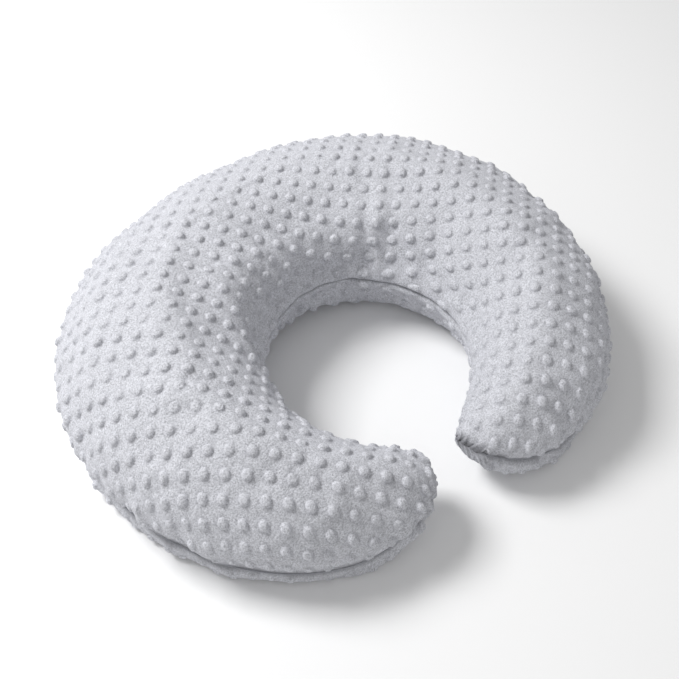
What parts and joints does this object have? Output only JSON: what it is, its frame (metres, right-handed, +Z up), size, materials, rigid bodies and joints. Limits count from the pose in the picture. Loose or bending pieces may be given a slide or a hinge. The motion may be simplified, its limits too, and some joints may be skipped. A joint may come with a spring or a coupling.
{
  "type": "nursing pillow",
  "caption": "C-shaped fibre-filled nursing pillow in a raised-dot plush slip cover with a hidden zip in its back seam.",
  "frame": {"origin": "under the middle of the pillow, on the surface it lies on", "axes": "+Z up, +Y towards the back of the pillow, its mouth faces -Y, +X to the right as the wearer sees it"},
  "size_m": [0.5262, 0.4345, 0.143],
  "materials": {
    "cover_plush": "raised-dot plush, brushed pile",
    "sewing_thread": "spun polyester thread",
    "case_cotton": "plain woven cotton",
    "polyester_fibre": "loose hollow fibre",
    "zip_tape": "woven tape",
    "zip_nylon": "moulded nylon coil",
    "zip_metal": "tumbled die casting",
    "label_satin": "blank satin ribbon"
  },
  "bodies": {
    "pillow": {"cover_top_panel": "cover_plush", "cover_bottom_panel": "cover_plush", "cover_seam_stitching": "sewing_thread", "cover_overlock_thread": "sewing_thread", "inner_case_top": "case_cotton", "inner_case_bottom": "case_cotton", "inner_case_stitching": "sewing_thread", "fibre_fill": "polyester_fibre", "zip_tape_upper": "zip_tape", "zip_tape_lower": "zip_tape", "zip_coil_upper": "zip_nylon", "zip_coil_lower": "zip_nylon", "zip_stitching_upper": "sewing_thread", "zip_stitching_lower": "sewing_thread", "zip_bar_tacks": "sewing_thread", "care_label": "label_satin", "zip_top_stops": "zip_metal", "zip_bottom_stop": "zip_metal"},
    "slider": {"zip_slider": "zip_metal"},
    "pull": {"zip_pull": "zip_metal"}
  },
  "joints": [
    {"name": "zip_run", "type": "hinge", "parent": "pillow", "child": "slider", "pos_m": [0, -0.07654, 0.06], "axis": [0, 0, 1], "range_deg": [0, 45.63]},
    {"name": "pull_swing", "type": "hinge", "parent": "slider", "child": "pull", "pos_m": [0.12043, 0.18964, 0.06], "axis": [0, 0, -1], "range_deg": [0, 150]}
  ]
}
